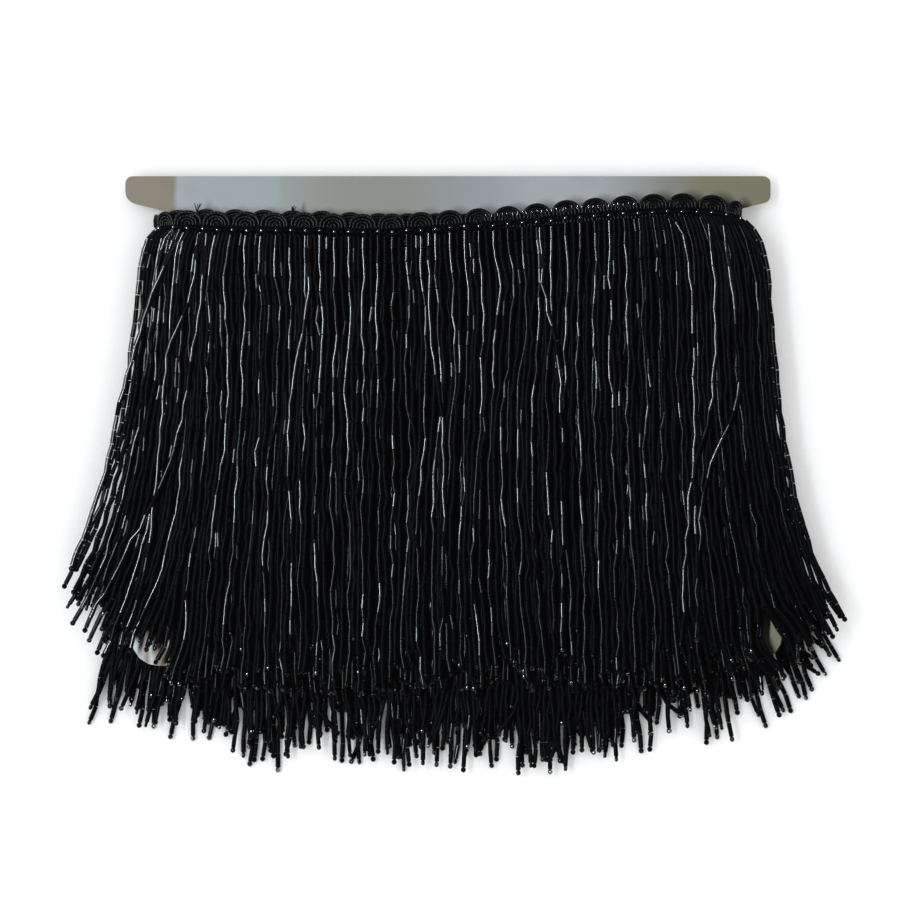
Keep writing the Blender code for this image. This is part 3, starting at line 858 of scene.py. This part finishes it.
# All the beads of one pass as one mesh: the bugles, a seed at each root, and a seed on edge at each tip
def makeStrands(line, profile, sides):
    rng = np.random.default_rng(400 + line["number"])
    joints, inside, bugles, paths = beadJoints(line, rng)
    strand, order = np.nonzero(inside[:, 1:])
    starts = joints[:, :-1][inside[:, 1:]]
    ends = joints[:, 1:][inside[:, 1:]]
    axes = unit(ends - starts)
    starts = starts + axes * (beads["firstGap"] * (order == 0))[:, None]
    lengths = np.linalg.norm(ends - starts, axis=1) - beads["bugleGap"]
    radii = beads["bugleRadius"] * (1 + beads["radiusSpread"] * rng.uniform(-1, 1, len(starts)))
    tones = bugleShine(line, rng, starts, order, strand, len(paths))
    roll = rng.uniform(0, fullTurn, len(starts))
    shells = beadShells((starts + ends) / 2, axes, lengths, radii, profile, sides, roll)
    points = [shells.reshape(-1, 3)]
    shines = [np.repeat(tones, len(profile) * sides)]
    groups = [*shellFaces(len(starts), len(profile), sides, 0)]

    count = len(paths)
    height = np.full((count, 1), passHeight(line) + beads["lift"])
    top = np.concatenate([paths[:, 0], height], axis=1)
    first = joints[:, 0]
    seeds = beadShells(
        (top + first) / 2, unit(first - top), np.full(count, trim["seedLength"]),
        np.full(count, beads["seedRadius"]), roundSeed, beads["seedSides"], np.zeros(count),
    )
    every = np.arange(count)
    # Only the outermost pass's own root seeds get the bright coat, a painted highlight; the covered
    # passes' root seeds stay dull as painted shade
    bright = (every < len(rootPlaces(line))) & outermost(line)
    groups += shellFaces(count, len(roundSeed), beads["seedSides"], len(points[0]))
    points.append(seeds.reshape(-1, 3))
    shines.append(np.repeat(shine["rootSeed"] * bright, len(roundSeed) * beads["seedSides"]))

    tip = joints[every, bugles]
    ahead = unit(tip - joints[every, bugles - 1])
    reach = beads["endRingRadius"] + beads["endRingThickness"]
    centre = tip + ahead * (reach - beads["endRingSink"])
    centre[:, 2] = np.maximum(centre[:, 2], reach + beads["floorGap"])
    ringPoints, ringQuads = seedRings(centre, ahead, rng, len(points[0]) + len(points[1]))
    ringTones = np.where(rng.random(count) < shine["brightTips"], shine["brightTip"], shine["dullTip"])
    points.append(ringPoints)
    shines.append(np.repeat(ringTones, len(ringPoints) // count))
    groups.append(ringQuads)

    name = "strands_" + line["name"]
    made = fillMesh(name, np.concatenate(points), groups, beadGlass, beads["crease"])
    setShine(made, np.concatenate(shines))
    return made


# The seed at a tip is a small ring that the thread goes round: a circle of circles, tipped so that
# its hole looks up or sideways
def seedRings(centres, ahead, rng, start):
    around, through = beads["endRingSides"]
    count = len(centres)
    tipped = rng.uniform(*beads["endRingTilt"], count) * rng.choice([-1.0, 1.0], count)
    level, upward = squareTo(ahead)
    hole = np.sin(tipped)[:, None] * level + np.cos(tipped)[:, None] * upward
    side = unit(np.cross(hole, ahead))
    u = fullTurn * np.arange(around) / around
    v = fullTurn * np.arange(through) / through
    outward = circle(u, ahead, side)
    thick = beads["endRingThickness"]
    reach = beads["endRingRadius"] + thick * np.cos(v)[None, None, :, None]
    points = centres[:, None, None, :] + reach * outward[:, :, None, :]
    deep = thick * beads["endRingStretch"]
    points = points + deep * np.sin(v)[None, None, :, None] * hole[:, None, None, :]
    base = start + np.arange(count)[:, None, None] * around * through
    i = np.arange(around)[None, :, None] * through
    j = np.arange(through)[None, None, :]
    nextI = (i + through) % (around * through)
    nextJ = (j + 1) % through
    quads = np.stack([base + i + j, base + nextI + j, base + nextI + nextJ, base + i + nextJ], axis=-1)
    return points.reshape(-1, 3), quads.reshape(-1, 4)


print("strands")
for line in passes:
    profile, sides = fineBugles.get(line["name"], otherBugles)
    strands = makeStrands(line, profile, sides)
    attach(strands, "root")
    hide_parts("fringe_" + line["name"])
    report(strands)


gimp = {
    "archWidths": (5.2, 3.75, 2.3, 0.9),
    "archCrowns": (5.7, 4.35, 3.1, 1.9),
    "cordRadii": (0.8, 0.68, 0.62, 0.55),
    "archRise": 0.8,
    "legFoot": 0.4,
    "legWeight": 1.3,
    "cordDepth": 0.1,
    "wander": 0.12,
    "crownWander": 0.6,
    "endShift": 0.28,
    "endSqueeze": 0.55,
    "leastPitch": 4.0,
    "leastArch": 0.8,
    "cordSides": {"front_4": 8, "front_3": 6, "back_3": 6},
    "hiddenSides": 5,
    "archSteps": 30,
    "hiddenSteps": 12,
    "scallopPoints": 20,
    "bendPoints": 7,
    "uprightPoints": 8,
    "bindingHeights": (0.35, 1.2),
    "bindingRadius": 0.42,
    "bindingDepth": -0.35,
    "bindingStep": 1.5,
    "bindingWave": 0.12,
    "bindingPitch": 3.0,
    "bindingSides": 6,
}


# The wound braid's lower edge from end to end: straight passes, and a rounded square turn between
# two of them, which goes out by an arc, straight up or down, and back by an arc. Each point has the
# braid's own directions up the card and through the braid
def braidLine():
    parts = []
    kinds = []
    for number, line in enumerate(passes):
        left, right = passEnds(line)
        scallops = round((right - left) / trim["scallopPitch"])
        x = np.linspace(left, right, scallops * gimp["scallopPoints"] + 1)
        if number % 2:
            x = x[::-1]
        y = headingTop(line, x) - trim["headingHeight"]
        z = np.full_like(x, passHeight(line))
        kinds.append((line["name"], scallops))
        parts.append(np.stack([x, y, z], axis=1))
        if outermost(line):
            break
        side = 1 if number % 2 == 0 else -1
        edge = side * edgePosition(number // 2)
        zTo = passHeight(passes[number + 1])
        rise = math.copysign(1.0, zTo - z[0])
        angle = np.linspace(0, math.pi / 2, gimp["bendPoints"])
        toGo = trim["turnRadius"] * (1 - np.sin(angle))
        gone = trim["turnRadius"] * (1 - np.cos(angle))
        low = np.full(len(angle), trim["turnTop"] - trim["headingHeight"])
        out = np.stack([edge - side * toGo, low, z[0] + rise * gone], axis=1)[1:]
        back = np.stack([edge - side * gone, low, zTo - rise * toGo], axis=1)[:-1]
        upright = np.linspace(0, 1, gimp["uprightPoints"])[1:-1, None]
        turn = np.concatenate([out, out[-1] + (back[0] - out[-1]) * upright, back])
        kinds.append(("turn", 1))
        parts.append(turn)
    points = np.concatenate(parts)
    along = unit(np.gradient(points, axis=0))
    level = along * np.array([1.0, 1.0, 0.0])
    up = unit(np.array([0.0, 1.0, 0.0]) - level * level[:, 1:2])
    through = unit(np.cross(along, up))
    run = lengthAlong(points)
    ends = np.cumsum([len(part) for part in parts])
    marks = [(*kind, run[end - len(part)], run[end - 1]) for kind, part, end in zip(kinds, parts, ends)]
    return {"points": points, "up": up, "through": through, "run": run, "marks": marks}


# Puts places given as run along the braid, height up it and depth through it into the card's frame
def onBraid(line, run, height, depth):
    parts = [
        np.stack([np.interp(run, line["run"], line[key][:, k]) for k in range(3)], axis=-1)
        for key in ("points", "up", "through")
    ]
    return parts[0] + unit(parts[1]) * height[..., None] + unit(parts[2]) * depth[..., None]


# Tubes along many open paths of one point count: a circle across each path, turned by the normal
# that is given, with a flat cap at each end, and the UV map's length and turn
def makeTubes(paths, normals, radii, sides):
    tangent = unit(np.gradient(paths, axis=1))
    across = unit(np.cross(tangent, normals))
    upward = np.cross(across, tangent)
    angle = fullTurn * np.arange(sides) / sides
    count, steps = paths.shape[:2]
    points = paths[:, :, None, :] + radii[..., None, None] * circle(angle, across, upward)
    quads, low, high = shellFaces(count, steps, sides, 0)
    run = lengthAlong(paths)
    u = [np.repeat(part[:, :, None] * mm, sides, axis=2) for part in (run[:, :-1], run[:, 1:])]
    v = [np.broadcast_to((np.arange(sides) + more) / sides, u[0].shape) for more in (0, 1)]
    corners = [np.stack([u[i], v[j]], axis=-1) for i, j in ((0, 0), (1, 0), (1, 1), (0, 1))]
    quadUv = np.stack(corners, axis=-2).reshape(-1, 2)
    capUv = np.zeros((2 * count * sides, 2))
    return points.reshape(-1, 3), [quads, low, high], [quadUv, capUv]


def joinTubes(name, tubes, material):
    points, groups, uvs = [], [], []
    total = 0
    for tubePoints, tubeGroups, tubeUvs in tubes:
        points.append(tubePoints)
        groups += [group + total for group in tubeGroups]
        uvs += tubeUvs
        total += len(tubePoints)
    made = fillMesh(name, np.concatenate(points), groups, material)
    uvMap = made.data.uv_layers.new(name="cordMap")
    uvMap.data.foreach_set("uv", np.concatenate(uvs).astype(np.float32).ravel())
    return made


# One gimp arch: a leg, half an ellipse and a leg back, as run and height in millimetres, worked
# out at even steps of a parameter from -1 to 1
def archShape(halfWidth, crown, foot, steps):
    rise = halfWidth * gimp["archRise"]
    spring = crown - rise
    legShare = (spring - foot) / (spring - foot + gimp["legWeight"] * halfWidth)
    t = np.linspace(-1, 1, steps)
    inArch = np.clip(t / (1 - legShare), -1, 1)
    onLeg = np.clip((np.abs(t) - (1 - legShare)) / legShare, 0, 1)
    run = halfWidth * np.sin(inArch * math.pi / 2)
    height = spring + rise * np.cos(inArch * math.pi / 2) - onLeg * (spring - foot)
    return run, height


print("gimp heading")
braid = braidLine()


def makeGimpHeading(line):
    rng = np.random.default_rng(77)
    scallopStart = {row["name"]: row["scallopStart"] for row in passes}
    tubes = []
    for name, scallops, low, high in line["marks"]:
        turning = name == "turn"
        sides = gimp["cordSides"].get(name, gimp["hiddenSides"])
        steps = gimp["archSteps"] if name in gimp["cordSides"] else gimp["hiddenSteps"]
        pitch = (high - low) / scallops
        middles = low + pitch * (np.arange(scallops) + 0.5)
        squeeze = np.full(scallops, pitch / trim["scallopPitch"])
        if scallopStart.get(name):
            middles = np.concatenate([[low], middles + pitch * scallopStart[name]])
            middles[0] += pitch * gimp["endShift"]
            middles[-1] -= pitch * gimp["endShift"]
            squeeze = np.concatenate([squeeze, squeeze[:1]])
            squeeze[[0, -1]] *= gimp["endSqueeze"]
        if turning and pitch < gimp["leastPitch"]:
            continue
        for width, crown, radius in zip(gimp["archWidths"], gimp["archCrowns"], gimp["cordRadii"]):
            if turning and width * squeeze[0] < gimp["leastArch"]:
                continue
            run, height = archShape(width, crown, gimp["legFoot"], steps)
            wander = gimp["wander"] * rng.normal(0, 1, (len(middles), 1))
            along = middles[:, None] + run[None, :] * squeeze[:, None] + wander
            heights = height[None, :] + wander * gimp["crownWander"]
            depth = np.full_like(along, gimp["cordDepth"])
            paths = onBraid(line, along, heights, depth)
            normal = onBraid(line, along, heights, depth + 1.0) - paths
            tubes.append(makeTubes(paths, normal, np.full(along.shape, radius), sides))
    return tubes


heading = joinTubes("gimpHeading", makeGimpHeading(braid), gimpCord)
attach(heading, "root")
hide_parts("heading")
report(heading)


# Two cords that bind the strands' threads along the braid's lower edge, each at its height plus a
# sine of the length
def makeBinding(line):
    run = np.arange(0.0, line["run"][-1], gimp["bindingStep"])
    depth = np.full_like(run, gimp["bindingDepth"])
    tubes = []
    for height in gimp["bindingHeights"]:
        heights = height + gimp["bindingWave"] * np.sin(fullTurn * run / gimp["bindingPitch"] + height)
        path = onBraid(line, run, heights, depth)[None]
        normal = onBraid(line, run, heights, depth + 1.0)[None] - path
        radii = np.full(path.shape[:2], gimp["bindingRadius"])
        tubes.append(makeTubes(path, normal, radii, gimp["bindingSides"]))
    return tubes


binding = joinTubes("strandBinding", makeBinding(braid), dullThread)

threads = {
    "tufts": ((-104.2, -14.6), (-64.6, -15.2)),
    "tuftFibres": 5,
    "tuftReach": 2.6,
    "tuftRoot": 1.5,
    "tuftShares": (0.6, 1.0),
    "tuftFan": 0.7,
    "tuftBend": 0.5,
    "fibreRadius": 0.17,
    "fibreSides": 5,
    "fibrePoints": 8,
    "stitchRange": (16.0, 78.0),
    "stitchPitch": 2.1,
    "stitchFoot": 2.1,
    "stitchHeight": 1.3,
    "stitchShares": (0.6, 1.2),
    "stitchRadius": 0.34,
    "stitchSides": 8,
    "stitchLift": 0.1,
    "stitchShift": 0.25,
    "stitchClimb": 0.2,
    "stitchTilt": 0.2,
    "stitchShine": 2.0,
}


# Two tufts of thread ends that stand out at the heading's upper edge, each a spray of bent fibres
def makeTufts():
    rng = np.random.default_rng(55)
    count = threads["tuftFibres"]
    fan = threads["tuftFan"]
    root = threads["tuftRoot"]
    top = passHeight(passes[-1]) + trim["thickness"] / 2
    t = np.linspace(0.0, 1.0, threads["fibrePoints"])[None, :]
    tubes = []
    for x, y in threads["tufts"]:
        aim = rng.uniform(-fan, fan, (count, 1))
        reach = threads["tuftReach"] * rng.uniform(*threads["tuftShares"], (count, 1))
        bend = threads["tuftBend"] * rng.normal(0, 1, (count, 1))
        across = x + reach * t * np.sin(aim) + bend * t**2
        paths = np.stack([across, y - root + (reach + root) * t, np.full_like(across, top)], axis=2)
        normals = np.broadcast_to(skyward, paths.shape)
        radii = np.full(across.shape, threads["fibreRadius"])
        tubes.append(makeTubes(paths, normals, radii, threads["fibreSides"]))
    return tubes


tufts = joinTubes("threadTufts", makeTufts(), dullThread)


# A row of short shiny stitches over the feet of the arches, where the heading climbs
def makeStitches():
    rng = np.random.default_rng(56)
    line = passes[-1]
    x = np.arange(*threads["stitchRange"], threads["stitchPitch"])
    count = len(x)
    x = x + rng.normal(0, threads["stitchShift"], count)
    foot = headingTop(line, x) - trim["headingHeight"] + threads["stitchFoot"]
    foot += rng.normal(0, threads["stitchClimb"], count)
    height = passHeight(line) + trim["thickness"] / 2 + threads["stitchLift"]
    centres = np.stack([x, foot + threads["stitchHeight"] / 2, np.full(count, height)], axis=1)
    tilt = rng.normal(0, threads["stitchTilt"], count)
    axes = unit(np.stack([tilt, np.ones(count), np.zeros(count)], axis=1))
    lengths = threads["stitchHeight"] * rng.uniform(*threads["stitchShares"], count)
    radii = np.full(count, threads["stitchRadius"])
    sides = threads["stitchSides"]
    shells = beadShells(centres, axes, lengths, radii, softBugle, sides, np.zeros(count))
    points = shells.reshape(-1, 3)
    faces = shellFaces(count, len(softBugle), sides, 0)
    made = fillMesh("stitches", points, faces, beadGlass, beads["crease"])
    setShine(made, np.full(len(points), threads["stitchShine"]))
    return made


for made in (binding, tufts, makeStitches()):
    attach(made, "root")
    report(made)

print("card")
card = bpy.data.objects["card"]
for materialSlot in card.material_slots:
    materialSlot.material = greyBoard

print("floor, light and camera")
studio = {
    "floorSize": 3.0,
    "floorTones": ((0.25, 0.25, 0.25, 1.0), (0.22, 0.22, 0.22, 1.0)),
    "floorRoughness": 0.9,
    "floorSpecular": 0.1,
    "floorGlow": 0.96,
    "grainScale": 40.0,
    "shadeReach": 0.03,
    "shadePower": 1.1,
    "shadeColour": (0.0, 0.0, 0.0, 1.0),
    "glowColour": (1.0, 1.0, 1.0, 1.0),
    "lights": {
        "keySoftbox": {"place": (-0.62, 0.05, 1.25), "size": (0.9, 0.14), "power": 17.0},
        "fillSoftbox": {"place": (0.5, 0.1, 1.2), "size": (0.3, 0.9), "power": 0.22},
    },
    "lightColour": (0.86, 0.94, 1.0),
    "target": (0.0, 0.0, 0.01),
    "worldColour": (0.9, 0.95, 1.0, 1.0),
    "worldStrength": 0.04,
}


# A white ground that glows as if lit from all sides, with painted shade where the glow darkens close to
# what lies on it
def makeFloor():
    half = studio["floorSize"] / 2
    corners = [(-half, -half, 0), (half, -half, 0), (half, half, 0), (-half, half, 0)]
    mesh = bpy.data.meshes.new("paleFloor")
    mesh.from_pydata(corners, [], [(0, 1, 2, 3)])
    floor = bpy.data.objects.new("paleFloor", mesh)
    bpy.context.scene.collection.objects.link(floor)
    finish = Finish("paleFloorPaint", {
        "Roughness": studio["floorRoughness"], "Specular IOR Level": studio["floorSpecular"],
        "Emission Strength": studio["floorGlow"],
    })
    grain = finish.noise(finish.place(), studio["grainScale"], 2.0)
    colour = finish.mixed(grain * 0.04, *studio["floorTones"])
    reach = {"Distance": studio["shadeReach"]}
    clear = finish.add("ShaderNodeAmbientOcclusion", {"samples": 2}, reach, 1)
    glow = finish.mixed(clear ** studio["shadePower"], studio["shadeColour"], studio["glowColour"])
    mesh.materials.append(finish.paint(Base_Color=colour, Emission_Color=glow))


def makeSoftLight(name, light):
    data = bpy.data.lights.new(name, "AREA")
    data.shape = "RECTANGLE"
    data.size, data.size_y = light["size"]
    data.energy = light["power"]
    data.color = studio["lightColour"]
    made = bpy.data.objects.new(name, data)
    made.location = light["place"]
    aim = Vector(studio["target"]) - Vector(light["place"])
    made.rotation_mode = "QUATERNION"
    made.rotation_quaternion = aim.to_track_quat("-Z", "Y")
    bpy.context.scene.collection.objects.link(made)


def makeWorld():
    world = bpy.data.worlds.new("dimRoom")
    world.use_nodes = True
    background = world.node_tree.nodes["Background"]
    background.inputs["Color"].default_value = studio["worldColour"]
    background.inputs["Strength"].default_value = studio["worldStrength"]
    bpy.context.scene.world = world


# The photograph shows 0.375 m across its width, seen from straight above
view = {
    "centre": (-0.00116, 0.01049),
    "width": 0.375,
    "subjectHeight": 0.012,
    "lens": 100.0,
    "sensor": 36.0,
}


def makeCamera():
    data = bpy.data.cameras.new("camera")
    data.lens = view["lens"]
    data.sensor_width = view["sensor"]
    data.clip_end = 20.0
    made = bpy.data.objects.new("camera", data)
    distance = view["width"] * view["lens"] / view["sensor"]
    made.location = (*view["centre"], view["subjectHeight"] + distance)
    bpy.context.scene.collection.objects.link(made)
    bpy.context.scene.camera = made


makeFloor()
for lightName, light in studio["lights"].items():
    makeSoftLight(lightName, light)
makeWorld()
makeCamera()
bpy.context.scene.view_settings.view_transform = "Standard"
